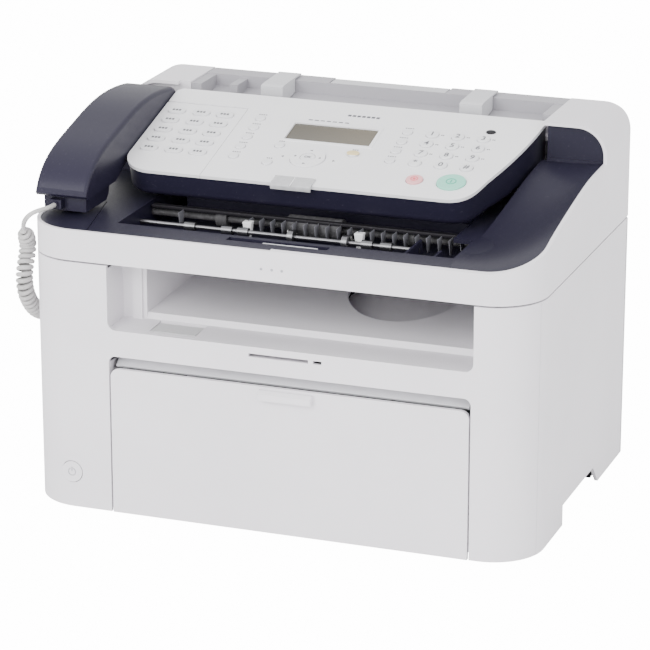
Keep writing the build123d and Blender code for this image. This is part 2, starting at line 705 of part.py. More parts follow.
with BuildPart() as handset_cover:
    # mouthpiece and earpiece halves of the lower shell
    with BuildSketch(Plane.YZ.offset(handset_x[0] + 3)):
        with BuildLine():
            Polyline((-89, 209), (-89, 220.4), (-48, 221.1), (-50, 213), (-54, 209), close=True)
        make_face()
    extrude(amount=32)
    with BuildSketch(Plane.YZ.offset(handset_x[0] + 9)):
        with BuildLine():
            Polyline(
                (44, 219.5), (42, 239.4), (66, 236.4), (62, 219.5), (58, 217.5), (48, 217.5), close=True
            )
        make_face()
    extrude(amount=20)
save(handset_cover.part, "handset_cover")

plug_x = -172.0
plug_z = 214.5
plug_front = -96.0
with BuildPart() as cord_plug:
    span_box((plug_x - 4.5, plug_front + 1, plug_z - 3.4), (plug_x + 4.5, -89.0, plug_z + 3.4))
    with Locations(Location((plug_x, plug_front + 0.5, plug_z), (90, 0, 0))):
        Cylinder(2.6, 1.0)
save(cord_plug.part, "cord_plug")


def cord_tube(points, diameter, name):
    # straight runs joined by arcs as large as the runs allow
    runs = [Vector(*b) - Vector(*a) for a, b in zip(points, points[1:])]
    radii = []
    for before, after in zip(runs, runs[1:]):
        turn = math.radians(before.get_angle(after))
        radii.append(0.45 * min(before.length, after.length) / math.tan(turn / 2))
    print(name, "radii", [round(r, 1) for r in radii])
    with BuildPart(mode=Mode.PRIVATE) as tube:
        with BuildLine():
            path = FilletPolyline(*points, radius=radii) if radii else Line(*points)
        with BuildSketch(Plane(origin=path @ 0, z_dir=path % 0)):
            Circle(diameter / 2)
        sweep(path=path)
    expected = math.pi * diameter ** 2 / 4 * path.length
    print(name, "length", round(path.length, 1), "volume ratio", round(tube.part.volume / expected, 4))
    return tube.part


coil_top = (coil_x, -90.0, 184.5)
coil_end = (jack_x, jack_y, 166.0)
lead_route = [
    (plug_x, plug_front - clear, plug_z), (plug_x, -103.0, plug_z), (-176.5, -108.0, 214.0),
    (-183.5, -111.0, 211.2), (-190.0, -108.5, 204.5), (-194.5, -101.0, 196.0), coil_top,
]
coil_route = [
    coil_top, (coil_x, -92.5, 174.5), (coil_x, -97.5, 165.0), (coil_x, -98.5, 154.0),
    (coil_x, -93.5, 142.5), (coil_x, -82.0, 131.0), (coil_x, -64.0, 123.0), (coil_x, -42.0, 119.0),
    (coil_x, -19.0, 119.5), (coil_x, 4.0, 124.5), (coil_x, 26.0, 134.0), (jack_x, jack_y, 149.0), coil_end,
]
tail_route = [coil_end, (jack_x, jack_y, jack_bottom)]
lead = cord_tube(lead_route, lead_d, "lead")
tail = cord_tube(tail_route, lead_d, "tail")
with BuildPart() as cord_leads:
    add(lead)
    add(tail)
save(cord_leads.part, "cord_leads")
coil = cord_tube(coil_route, coil_d, "coil")
save(coil, "cord_coil")

# ================= control panel =================

tilt = math.radians(panel_tilt)
panel_plane = Plane(
    origin=(0, *panel_front), x_dir=(1, 0, 0), z_dir=(0, -math.sin(tilt), math.cos(tilt))
)


def plate_outline(inset):
    # plan of the panel in its own plane: straight front, rounded corners, flared right edge
    right_top = (137 - inset, plate_depth - inset)
    right_mid = (120.5 - inset, 34)
    left = -146 + inset
    with BuildSketch(mode=Mode.PRIVATE) as outline:
        with BuildLine():
            Line((-123, inset), (96, inset))
            Spline((96, inset), (113 - inset * 0.7, 9 + inset * 0.7), right_mid, tangents=((1, 0), (0.3, 1)))
            Spline(right_mid, (130.5 - inset, 73), right_top, tangents=((0.3, 1), (0.1, 1)))
            Polyline(
                right_top, (left + 4, plate_depth - inset), (left, plate_depth - inset - 4), (left, 23)
            )
            TangentArc((left, 23), (-123, inset), tangent=(0, -1))
        make_face()
    return outline.sketch


flap_x = -83.0
flap_y = 99.0
number_x = (62.0, 81.0, 100.0)
row_y = [44.0 + 13.6 * i for i in range(4)]
touch_x = (-134.0, -115.0, -96.5)
touch_y = [30.5 + 13.7 * i for i in range(5)]
display_low = (-42.0, 60.5)
display_high = (22.5, 85.5)
display_middle = tuple((a + b) / 2 for a, b in zip(display_low, display_high))
display_size = [b - a for a, b in zip(display_low, display_high)]
small_keys = [(43.5, y) for y in row_y] + [(-69.0, y) for y in touch_y]
small_keys += [(-41.5, 50.6), (-42.0, 26.0), (15.0, 48.0)]
nav_at = (-15.2, 36.8)
stop_at = (69.0, 21.7)
start_at = (95.5, 22.8)
pocket_deep = 5.4
flap_hinge = 97.2
flap_pin = 0.7
flap_axis = (
    panel_front[0] + flap_hinge * math.cos(tilt) + plate_thick / 2 * math.sin(tilt),
    panel_front[1] + flap_hinge * math.sin(tilt) - plate_thick / 2 * math.cos(tilt),
)
print("flap axis", flap_axis)

with BuildPart() as panel_plate:
    with BuildSketch(panel_plane):
        add(plate_outline(0))
        # the flap's place
        with Locations((flap_x - 100, flap_y / 2 - 20)):
            Rectangle(200, flap_y + 40, mode=Mode.SUBTRACT)
        with Locations(display_middle):
            RectangleRounded(*display_size, 2.5, mode=Mode.SUBTRACT)
        with Locations(*[(x, y) for x in number_x for y in row_y]):
            Circle(4.6 + key_gap, mode=Mode.SUBTRACT)
        with Locations(*small_keys):
            Circle(3.6 + key_gap, mode=Mode.SUBTRACT)
        with Locations(nav_at):
            Circle(12.6 + key_gap, mode=Mode.SUBTRACT)
        with Locations(stop_at):
            Circle(6 + key_gap, mode=Mode.SUBTRACT)
        with Locations(start_at):
            Circle(10.3 + key_gap, mode=Mode.SUBTRACT)
    extrude(amount=-plate_thick)
    rod_x(flap_x - 1, flap_x + 2.4, *flap_axis, flap_pin + running, Mode.SUBTRACT)
    # shallow tray under the one-touch flap, hung from the plate by two walls
    with BuildSketch(panel_plane.offset(-pocket_deep)):
        add(plate_outline(4.6))
        with Locations((flap_x + 101.5, 60), (-100, flap_y + 101.5)):
            Rectangle(200, 200, mode=Mode.SUBTRACT)
    extrude(amount=-1.2)
    with BuildSketch(panel_plane.offset(-plate_thick)):
        with Locations((flap_x + 0.9, flap_y / 2 + 3)):
            Rectangle(1.2, flap_y - 3)
        with Locations((-111, flap_y + 0.9)):
            Rectangle(58, 1.2)
    extrude(amount=plate_thick - pocket_deep)
save(panel_plate.part, "panel_plate")

skirt_drop = 60.0
with BuildPart() as panel_skirt:
    with BuildSketch(panel_plane.offset(-plate_thick)):
        add(plate_outline(1.0))
    extrude(amount=-skirt_drop)
    # underside: low at the sides, raised over the paper path in the middle
    with BuildSketch(Plane.YZ.offset(-160)):
        with BuildLine():
            Polyline((-80, 205.0), (-36, 211.2), (80, 227.4), (80, 100), (-80, 100), close=True)
        make_face()
    extrude(amount=320, mode=Mode.SUBTRACT)
    under = panel_skirt.faces().filter_by(lambda f: f.normal_at().Z < -0.9).edges()
    front_under = under.filter_by(lambda e: e.center().Y < 20)
    fillet(front_under, 5.0)
    with BuildSketch(Plane.YZ.offset(-112)):
        with BuildLine():
            Polyline((-32, 205), (-24, 213.0), (90, 259.0), (90, 100), (-32, 100), close=True)
        make_face()
    extrude(amount=224, mode=Mode.SUBTRACT)
    # inside of the panel
    with BuildSketch(panel_plane.offset(-plate_thick)):
        add(plate_outline(4.0))
    extrude(amount=-9.0, mode=Mode.SUBTRACT)
    # room for the rear edge to swing
    span_box((-200, 69.4, 190), (200, 90, 262), Mode.SUBTRACT)
    # slots for the hinge lugs, each crossed by a pin
    for x in hinge_lugs:
        span_box((x - 2.2, 63, 248), (x + 2.2, 75, 262), Mode.SUBTRACT)
        rod_x(x - 3.4, x + 3.4, *panel_axis, panel_pin)
save(panel_skirt.part, "panel_skirt")

with BuildPart() as display_module:
    with BuildSketch(panel_plane.offset(-plate_thick - 0.2)):
        with Locations(display_middle):
            RectangleRounded(display_size[0] + 6, display_size[1] + 6, 3)
    extrude(amount=-4)
    # control board under the keys
    with BuildSketch(panel_plane.offset(-plate_thick - 6.4)):
        with Locations((2, 62)):
            Rectangle(184, 84)
    extrude(amount=-1.6)
    with BuildSketch(panel_plane.offset(-plate_thick - 4)):
        with Locations((-35, 73), (15, 73)):
            Rectangle(4, 20)
    extrude(amount=-3)
save(display_module.part, "display_module")


def height_on_panel(face):
    return (face.center() - panel_plane.origin).dot(panel_plane.z_dir)


def key(place, radius, name, flange=1.0):
    # a round key: domed cap through the plate and a flange under it
    with BuildPart() as cap:
        with BuildSketch(panel_plane.offset(key_rise)):
            with Locations(*place):
                Circle(radius)
        extrude(amount=-(key_rise + plate_thick + 0.4))
        fillet(cap.faces().filter_by(lambda f: height_on_panel(f) > key_rise - 0.1).edges(), 0.6)
        with BuildSketch(panel_plane.offset(-plate_thick - 0.4)):
            with Locations(*place):
                Circle(radius + flange)
        extrude(amount=-1.2)
    save(cap.part, name)


names = (
    ("key_star", "key_7", "key_4", "key_1"),
    ("key_0", "key_8", "key_5", "key_2"),
    ("key_hash", "key_9", "key_6", "key_3"),
)
for column, x in enumerate(number_x):
    for row, y in enumerate(row_y):
        key([(x, y)], 4.6, names[column][row])
key(small_keys, 3.6, "function_keys")
key([stop_at], 6.0, "stop_key")
key([start_at], 10.3, "start_key")

with BuildPart() as nav_ring:
    with BuildSketch(panel_plane.offset(key_rise)):
        with Locations(nav_at):
            Circle(12.6)
            Circle(5.4 + key_gap, mode=Mode.SUBTRACT)
    extrude(amount=-(key_rise + plate_thick + 0.4))
    with BuildSketch(panel_plane.offset(-plate_thick - 0.4)):
        with Locations(nav_at):
            Circle(13.6)
            Circle(6.9, mode=Mode.SUBTRACT)
    extrude(amount=-1.2)
save(nav_ring.part, "nav_ring")
key([nav_at], 5.4, "ok_key", flange=0.0)

with BuildPart() as one_touch_flap:
    with BuildSketch(panel_plane):
        add(plate_outline(0))
        with Locations((flap_x + 150, 60)):
            Rectangle(300 + 2 * clear, 300, mode=Mode.SUBTRACT)
        with Locations((-100, flap_hinge + 50)):
            Rectangle(200, 100, mode=Mode.SUBTRACT)
        with Locations(*[(x, y) for x in touch_x for y in touch_y]):
            SlotOverall(13 + 2 * key_gap, 7.6 + 2 * key_gap, mode=Mode.SUBTRACT)
    extrude(amount=-plate_thick)
    # rounded rear edge, with a pin into the plate at its right end
    rod_x(-145.6, flap_x - clear, *flap_axis, plate_thick / 2)
    rod_x(flap_x - 2, flap_x + 2, *flap_axis, flap_pin)
save(one_touch_flap.part, "one_touch_flap")

with BuildPart() as one_touch_keys:
    with BuildSketch(panel_plane.offset(key_rise)):
        with Locations(*[(x, y) for x in touch_x for y in touch_y]):
            SlotOverall(13, 7.6)
    extrude(amount=-(key_rise + plate_thick + 0.4))
    # thin web that holds the keys together behind the flap
    with BuildSketch(panel_plane.offset(-plate_thick - 0.4)):
        with Locations((sum(touch_x) / 3, sum(touch_y) / 5)):
            Rectangle(52, 66)
    extrude(amount=-1.0)
save(one_touch_keys.part, "one_touch_keys")
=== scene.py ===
import json
import math

import bpy
from mathutils import Matrix, Vector

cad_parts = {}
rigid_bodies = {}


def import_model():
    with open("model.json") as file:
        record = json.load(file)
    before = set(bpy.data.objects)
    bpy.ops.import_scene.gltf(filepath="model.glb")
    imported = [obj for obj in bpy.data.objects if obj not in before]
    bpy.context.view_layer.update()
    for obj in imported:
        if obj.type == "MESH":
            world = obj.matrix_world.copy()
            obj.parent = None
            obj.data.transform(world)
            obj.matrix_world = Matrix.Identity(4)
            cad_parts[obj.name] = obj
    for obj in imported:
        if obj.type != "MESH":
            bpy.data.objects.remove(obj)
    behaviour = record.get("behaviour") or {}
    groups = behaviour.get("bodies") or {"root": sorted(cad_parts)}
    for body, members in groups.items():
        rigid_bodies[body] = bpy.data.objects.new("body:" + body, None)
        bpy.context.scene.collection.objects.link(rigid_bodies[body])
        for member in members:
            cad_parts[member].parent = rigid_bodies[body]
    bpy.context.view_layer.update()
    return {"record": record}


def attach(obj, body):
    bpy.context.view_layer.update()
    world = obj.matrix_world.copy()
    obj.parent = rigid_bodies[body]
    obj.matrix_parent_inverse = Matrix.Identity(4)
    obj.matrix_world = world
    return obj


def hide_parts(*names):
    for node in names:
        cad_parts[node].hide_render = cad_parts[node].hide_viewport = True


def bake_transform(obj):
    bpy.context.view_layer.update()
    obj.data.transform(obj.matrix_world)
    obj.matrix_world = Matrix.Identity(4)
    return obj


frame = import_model()
mm = 0.001
print("frame loaded")


# Room: camera, lamps and floor

room = {
    "cameraPlace": (0.744, -2.053, 0.837),
    "cameraTurn": (71.72, 0.0, 20.06),  # degrees
    "lens": 177.3,
    "shiftX": 0.0,
    "shiftY": 0.0,
    "floorSize": 9.0,
    "floorGlow": 16.0,
    "floorShare": 0.93,
    "floorColour": (0.96, 0.96, 0.963),
    "worldStrength": 1.55,
    "lamps": (
        # place, target, size, watts
        ((-0.6, -2.1, 1.2), (0.0, 0.0, 0.1), 1.6, 58.0),
        ((1.9, -0.9, 1.0), (0.0, 0.0, 0.1), 1.2, 14.0),
        ((0.1, 0.4, 2.3), (0.0, 0.0, 0.1), 1.8, 8.0),
    ),
}

cameraData = bpy.data.cameras.new("studioCamera")
cameraData.lens = room["lens"]
cameraData.sensor_width = 36.0
cameraData.shift_x = room["shiftX"]
cameraData.shift_y = room["shiftY"]
cameraData.clip_end = 50.0
camera = bpy.data.objects.new("studioCamera", cameraData)
bpy.context.scene.collection.objects.link(camera)
camera.location = room["cameraPlace"]
camera.rotation_euler = [math.radians(a) for a in room["cameraTurn"]]
bpy.context.scene.camera = camera

for number, (place, target, size, watts) in enumerate(room["lamps"]):
    lampData = bpy.data.lights.new(f"softbox{number}", "AREA")
    lampData.energy = watts
    lampData.size = size
    lamp = bpy.data.objects.new(f"softbox{number}", lampData)
    bpy.context.scene.collection.objects.link(lamp)
    lamp.location = place
    lamp.rotation_euler = (Vector(target) - Vector(place)).to_track_quat("-Z", "Y").to_euler()

world = bpy.data.worlds.new("studio")
bpy.context.scene.world = world
world.use_nodes = True
world.node_tree.nodes["Background"].inputs["Color"].default_value = (1.0, 1.0, 1.0, 1.0)
world.node_tree.nodes["Background"].inputs["Strength"].default_value = room["worldStrength"]
print("room ready")


# Shader writing

class Wire:
    # a socket that can be used in sums

    def __init__(self, tree, socket):
        self.tree = tree
        self.socket = socket

    def math(self, operation, *values):
        made = self.tree.nodes.new("ShaderNodeMath")
        made.operation = operation
        for socket, value in zip(made.inputs, values):
            plug(self.tree, socket, value)
        return Wire(self.tree, made.outputs[0])

    def __add__(self, other):
        return self.math("ADD", self, other)

    def __radd__(self, other):
        return self.math("ADD", other, self)

    def __sub__(self, other):
        return self.math("SUBTRACT", self, other)

    def __rsub__(self, other):
        return self.math("SUBTRACT", other, self)

    def __mul__(self, other):
        return self.math("MULTIPLY", self, other)

    def __rmul__(self, other):
        return self.math("MULTIPLY", other, self)


def plug(tree, socket, value):
    if isinstance(value, Wire):
        tree.links.new(value.socket, socket)
    elif isinstance(value, (tuple, list)) and len(value) == 3 and socket.type == "RGBA":
        socket.default_value = (*value, 1.0)
    else:
        socket.default_value = value


class Finish:
    # one material: its tree, its shader and the node maker
    def __init__(self, name, **fixed):
        self.material = bpy.data.materials.new(name)
        self.material.use_nodes = True
        self.tree = self.material.node_tree
        self.shader = self.tree.nodes["Principled BSDF"]
        self.set(**fixed)

    def node(self, kind, settings=None, sockets=None, out=0):
        made = self.tree.nodes.new(kind)
        for key, value in (settings or {}).items():
            setattr(made, key, value)
        for key, value in (sockets or {}).items():
            plug(self.tree, made.inputs[key], value)
        return Wire(self.tree, made.outputs[out])

    def set(self, **values):
        for key, value in values.items():
            plug(self.tree, self.shader.inputs[key.replace("_", " ")], value)
        return self

    def place(self):
        return self.node("ShaderNodeTexCoord", out="Object")

    def axis(self, which):
        return self.node("ShaderNodeSeparateXYZ", sockets={"Vector": self.place()}, out=which)

    def noise(self, scale, detail=2.0, rough=0.5, vector=None):
        where = vector or self.place()
        sockets = {"Vector": where, "Scale": scale, "Detail": detail, "Roughness": rough}
        return self.node("ShaderNodeTexNoise", sockets=sockets)

    def blend(self, factor, first, second):
        return self.node(
            "ShaderNodeMix", {"data_type": "RGBA"}, {0: factor, 6: first, 7: second}, out=2
        )

    def ease(self, value, low, high, start=0.0, end=1.0):
        return self.node(
            "ShaderNodeMapRange",
            {"interpolation_type": "SMOOTHSTEP"},
            {0: value, 1: low, 2: high, 3: start, 4: end},
        )

    def bump(self, height, strength, distance, normal=None):
        sockets = {"Height": height, "Strength": strength, "Distance": distance}
        if normal is not None:
            sockets["Normal"] = normal
        return self.node("ShaderNodeBump", sockets=sockets)


def shade(colour, factor):
    return tuple(min(1.0, c * factor) for c in colour)


plasticLook = {
    # name: colour, roughness, grain cell in mm, grain depth in mm, dust
    "whitePlastic": ((0.80, 0.775, 0.815), 0.42, 0.42, 0.010, 0.05),
    "frontPlastic": ((0.80, 0.775, 0.815), 0.42, 0.42, 0.010, 0.05),
    "platePlastic": ((0.86, 0.855, 0.875), 0.36, 0.35, 0.004, 0.03),
    "greyPlastic": ((0.60, 0.60, 0.625), 0.48, 0.45, 0.012, 0.06),
    "darkPlastic": ((0.013, 0.0115, 0.026), 0.40, 0.40, 0.012, 0.10),
    "handsetPlastic": ((0.016, 0.014, 0.030), 0.38, 0.38, 0.008, 0.08),
    "keyPlastic": ((0.80, 0.80, 0.82), 0.38, 0.30, 0.003, 0.04),
    "innerPlastic": ((0.010, 0.009, 0.012), 0.52, 0.50, 0.014, 0.15),
    "innerWhite": ((0.62, 0.62, 0.63), 0.5, 0.5, 0.010, 0.06),
    "startPlastic": ((0.26, 0.66, 0.52), 0.30, 0.30, 0.002, 0.03),
    "stopPlastic": ((0.84, 0.42, 0.44), 0.30, 0.30, 0.002, 0.03),
    "ribPlastic": ((0.16, 0.16, 0.18), 0.45, 0.40, 0.004, 0.05),
    "hoodGrey": ((0.38, 0.37, 0.40), 0.48, 0.45, 0.012, 0.06),
    "oilPlastic": ((0.72, 0.60, 0.32), 0.32, 0.30, 0.002, 0.03),
}


def mouldedPlastic(name):
    # fine moulded grain, faint flow marks and a little dust in the hollows of the grain
    colour, rough, cell, deep, dust = plasticLook[name]
    made = Finish(name)
    grain = made.noise(1.0 / (cell * mm), 3.0, 0.55)
    flow = made.noise(9.0, 4.0, 0.6)
    speck = made.ease(made.noise(620.0, 1.0), 0.66, 0.80)
    tone = made.blend(made.ease(flow, 0.35, 0.7), shade(colour, 0.975), shade(colour, 1.02))
    tone = made.blend(speck * dust, tone, shade(colour, 0.7) if colour[0] > 0.2 else (0.2, 0.19, 0.22))
    made.set(
        Base_Color=tone,
        Roughness=made.ease(grain, 0.3, 0.7, rough - 0.05, rough + 0.06) + (flow - 0.5) * 0.08,
        Normal=made.bump(grain, 0.55, deep * mm),
    )
    made.set(Specular_IOR_Level=0.45 if colour[0] > 0.1 else 0.25)
    return made.material


finishes = {name: mouldedPlastic(name) for name in plasticLook}


def groundRubber(name, colour, ring):
    # roller rubber with grinding rings along its length
    made = Finish(name)
    rings = made.noise(1.0, 2.0, vector=made.node(
        "ShaderNodeMapping", sockets={"Vector": made.place(), "Scale": (ring, 60.0, 60.0)}
    ))
    dust = made.noise(240.0, 4.0, 0.7)
    made.set(
        Base_Color=made.blend(made.ease(dust, 0.45, 0.75), colour, shade(colour, 2.1)),
        Roughness=made.ease(rings, 0.3, 0.7, 0.62, 0.82),
        Normal=made.bump(rings + dust * 0.5, 0.5, 0.05 * mm),
    )
    return made.material


def turnedSteel(name, colour, rough):
    # fine turning marks round the shafts, with a few darker oil patches
    made = Finish(name, Metallic=1.0)
    marks = made.noise(1.0, 3.0, vector=made.node(
        "ShaderNodeMapping", sockets={"Vector": made.place(), "Scale": (2600.0, 90.0, 90.0)}
    ))
    oil = made.ease(made.noise(55.0, 3.0), 0.5, 0.72)
    made.set(
        Base_Color=made.blend(oil * 0.4, colour, shade(colour, 0.6)),
        Roughness=made.ease(marks, 0.3, 0.7, rough - 0.06, rough + 0.1),
        Normal=made.bump(marks, 0.35, 0.02 * mm),
    )
    return made.material


def curlySheath(name, colour):
    # satin vinyl of the curly cord, greyer where hands rub it
    made = Finish(name)
    rub = made.ease(made.noise(70.0, 3.0), 0.42, 0.72)
    grain = made.noise(2600.0, 2.0)
    made.set(
        Base_Color=made.blend(rub, colour, shade(colour, 0.86)),
        Roughness=made.ease(grain, 0.3, 0.7, 0.34, 0.46),
        Normal=made.bump(grain, 0.3, 0.006 * mm),
    )
    return made.material


def circuitBoard(name):
    # lacquered board with tracks under the lacquer and tinned pads
    made = Finish(name)
    tracks = made.node(
        "ShaderNodeTexBrick",
        {"offset": 0.5},
        {"Vector": made.place(), "Scale": 160.0, "Mortar Size": 0.03, "Color1": (0.010, 0.075, 0.035),
         "Color2": (0.014, 0.10, 0.045), "Mortar": (0.03, 0.17, 0.07)},
    )
    pads = made.ease(
        made.node("ShaderNodeTexVoronoi", sockets={"Vector": made.place(), "Scale": 330.0}), 0.2, 0.16
    )
    made.set(
        Base_Color=made.blend(pads, tracks, (0.55, 0.53, 0.48)),
        Roughness=made.ease(pads, 0.0, 1.0, 0.34, 0.24),
        Normal=made.bump(pads, 0.4, 0.05 * mm),
    )
    return made.material


def drumCoat(name):
    # smooth photosensitive coating with faint cleaning rings
    made = Finish(name, Coat_Roughness=0.08)
    rings = made.noise(1.0, 2.0, vector=made.node(
        "ShaderNodeMapping", sockets={"Vector": made.place(), "Scale": (900.0, 8.0, 8.0)}
    ))
    made.set(
        Base_Color=made.blend(made.ease(rings, 0.4, 0.7), (0.03, 0.12, 0.15), (0.05, 0.17, 0.19)),
        Roughness=made.ease(rings, 0.3, 0.7, 0.16, 0.26),
        Coat_Weight=made.ease(rings, 0.2, 0.8, 0.5, 0.7),
    )
    return made.material


# dark and light are the two ends of the painted reflection across the display
screenLook = {"dark": (0.050, 0.040, 0.022), "light": (0.100, 0.080, 0.045), "cell": 0.75}


def screenFace(name):
    # switched-off character display: dark brown-green with its dot cells just visible, its colour running
    # lighter from left to right as a painted reflection
    made = Finish(name, Coat_Weight=0.6, Coat_Roughness=0.05)
    across = made.axis("X")
    # glow is a painted reflection: the base colour goes from the dark tone at the left to the light tone
    # at the right
    glow = made.ease(across, -42 * mm, 22 * mm, 0.15, 0.95)
    cells = made.node("ShaderNodeTexBrick", {"offset": 0.0}, {
        "Vector": made.place(), "Scale": 1.0 / (screenLook["cell"] * 5 * mm), "Mortar Size": 0.04,
        "Color1": (1.0, 1.0, 1.0), "Color2": (0.96, 0.96, 0.96), "Mortar": (0.8, 0.8, 0.8),
    })
    dust = made.noise(900.0, 2.0)
    made.set(
        Base_Color=made.node(
            "ShaderNodeMix", {"data_type": "RGBA", "blend_type": "MULTIPLY"},
            {0: 1.0, 6: made.blend(glow, screenLook["dark"], screenLook["light"]), 7: cells}, out=2,
        ),
        Roughness=made.ease(dust, 0.3, 0.7, 0.12, 0.2),
    )
    return made.material


def printedInk(name, colour):
    # pad-printed ink, a little uneven in density
    made = Finish(name)
    dense = made.noise(1500.0, 2.0)
    made.set(
        Base_Color=made.blend(made.ease(dense, 0.3, 0.8), colour, shade(colour, 1.35)),
        Roughness=made.ease(dense, 0.3, 0.7, 0.42, 0.55),
        Normal=made.bump(dense, 0.2, 0.004 * mm),
    )
    return made.material


def clearAcrylic(name):
    # clear tab with moulded haze and fine scratches
    made = Finish(name, Transmission_Weight=0.55, IOR=1.49)
    haze = made.noise(400.0, 3.0)
    scratch = made.noise(1.0, 2.0, vector=made.node(
        "ShaderNodeMapping", sockets={"Vector": made.place(), "Scale": (90.0, 2600.0, 900.0)}
    ))
    made.set(
        Base_Color=made.blend(made.ease(haze, 0.3, 0.7), (0.80, 0.80, 0.82), (0.88, 0.88, 0.90)),
        Roughness=made.ease(scratch, 0.4, 0.7, 0.12, 0.26),
        Normal=made.bump(scratch, 0.25, 0.01 * mm),
    )
    return made.material


finishes["rollerRubber"] = groundRubber("rollerRubber", (0.045, 0.044, 0.047), 700.0)
finishes["feetRubber"] = groundRubber("feetRubber", (0.030, 0.030, 0.031), 300.0)
finishes["steel"] = turnedSteel("steel", (0.62, 0.61, 0.60), 0.28)
finishes["darkSteel"] = turnedSteel("darkSteel", (0.20, 0.20, 0.21), 0.34)
finishes["cordSheath"] = curlySheath("cordSheath", (0.50, 0.49, 0.485))
finishes["board"] = circuitBoard("board")
finishes["drumCoat"] = drumCoat("drumCoat")
finishes["screen"] = screenFace("screen")
finishes["greyInk"] = printedInk("greyInk", (0.075, 0.075, 0.09))
finishes["softInk"] = printedInk("softInk", (0.34, 0.34, 0.37))
finishes["greenInk"] = printedInk("greenInk", (0.05, 0.36, 0.26))
finishes["redInk"] = printedInk("redInk", (0.70, 0.10, 0.13))
finishes["clearTab"] = clearAcrylic("clearTab")

slotFinish = {
    "white_plastic": "whitePlastic",
    "front_plastic": "frontPlastic",
    "grey_plastic": "greyPlastic",
    "dark_plastic": "darkPlastic",
    "handset_plastic": "handsetPlastic",
    "key_plastic": "keyPlastic",
    "start_plastic": "startPlastic",
    "stop_plastic": "stopPlastic",
    "inner_plastic": "innerPlastic",
    "cord_plastic": "cordSheath",
    "feet_rubber": "feetRubber",
    "roller_rubber": "rollerRubber",
    "drum_coating": "drumCoat",
    "steel": "steel",
    "board": "board",
    "display": "screen",
}
nodeFinish = {
    "panel_plate": "platePlastic",
    "one_touch_flap": "platePlastic",
    "nav_ring": "platePlastic",
    "panel_skirt": "darkPlastic",
    "output_tray": "frontPlastic",
    "output_stopper": "innerWhite",
    "delivery_shaft": "darkSteel",
    "document_tray": "hoodGrey",
    "power_button": "frontPlastic",
    "cord_plug": "handsetPlastic",
}
for part in frame["record"]["subparts"]:
    node = bpy.data.objects[part["node"]]
    name = nodeFinish.get(part["node"], slotFinish[part["material_slot"]])
    node.data.materials.clear()
    node.data.materials.append(finishes[name])
print("finishes ready")


# Modelling helpers

def clearSelection():
    if bpy.context.object and bpy.context.object.mode != "OBJECT":
        bpy.ops.object.mode_set(mode="OBJECT")
    bpy.ops.object.select_all(action="DESELECT")


def pickOnly(piece):
    clearSelection()
    piece.select_set(True)
    bpy.context.view_layer.objects.active = piece


def startBox(name, low, high):
    # a box between two corners in millimetres, as a start for a piece
    clearSelection()
    middle = [(a + b) / 2 * mm for a, b in zip(low, high)]
    bpy.ops.mesh.primitive_cube_add(size=1.0, location=middle)
    made = bpy.context.object
    made.name = name
    made.scale = [(b - a) * mm for a, b in zip(low, high)]
    bpy.ops.object.transform_apply(location=True, rotation=True, scale=True)
    return made


def startRod(name, middle, radius, length, turn=(0.0, 0.0, 0.0), sides=32):
    clearSelection()
    bpy.ops.mesh.primitive_cylinder_add(
        vertices=sides, radius=radius * mm, depth=length * mm,
        location=[c * mm for c in middle], rotation=[math.radians(a) for a in turn],
    )
    made = bpy.context.object
    made.name = name
    bpy.ops.object.transform_apply(location=True, rotation=True, scale=True)
    return made


def startRing(name, middle, radius, thick, turn=(0.0, 0.0, 0.0)):
    clearSelection()
    bpy.ops.mesh.primitive_torus_add(
        major_segments=48, minor_segments=10, major_radius=radius * mm, minor_radius=thick * mm,
        location=[c * mm for c in middle], rotation=[math.radians(a) for a in turn],
    )
    made = bpy.context.object
    made.name = name
    bpy.ops.object.transform_apply(location=True, rotation=True, scale=True)
    return made


def chooseFaces(piece, test):
    # edit mode with only the faces that pass the test picked
    pickOnly(piece)
    bpy.ops.object.mode_set(mode="EDIT")
    bpy.ops.mesh.select_mode(type="FACE")
    bpy.ops.mesh.select_all(action="DESELECT")
    bpy.ops.object.mode_set(mode="OBJECT")
    for face in piece.data.polygons:
        face.select = test(face.center / mm, face.normal)
    bpy.ops.object.mode_set(mode="EDIT")


def leaveEdit():
    bpy.ops.object.mode_set(mode="OBJECT")


def soften(piece, width, segments=3, angle=35.0):
    # rounded edges, as the mould leaves them
    pickOnly(piece)
    bevel = piece.modifiers.new("softEdges", "BEVEL")
    bevel.width = width * mm
    bevel.segments = segments
    bevel.limit_method = "ANGLE"
    bevel.angle_limit = math.radians(angle)
    bpy.ops.object.modifier_apply(modifier=bevel.name)
    bpy.ops.object.shade_smooth_by_angle(angle=math.radians(angle))


def joinAll(name, pieces):
    clearSelection()
    for piece in pieces:
        piece.select_set(True)
    bpy.context.view_layer.objects.active = pieces[0]
    bpy.ops.object.join()
    pieces[0].name = name
    return pieces[0]


def settle(piece, finish, body, turn=None):
    # the piece gets its place, its finish and the body that it moves with
    if turn is not None:
        piece.data.transform(turn)
    piece.data.materials.clear()
    piece.data.materials.append(finishes[finish])
    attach(piece, body)
    return piece


# the control panel's own frame: X right, Y up the slope, Z out of the plate
panelLook = {"tilt": 15.0, "frontY": -45.0, "frontZ": 231.0}
onPanel = Matrix.Translation((0.0, panelLook["frontY"] * mm, panelLook["frontZ"] * mm)) @ Matrix.Rotation(
    math.radians(panelLook["tilt"]), 4, "X"
)


# Curly cord

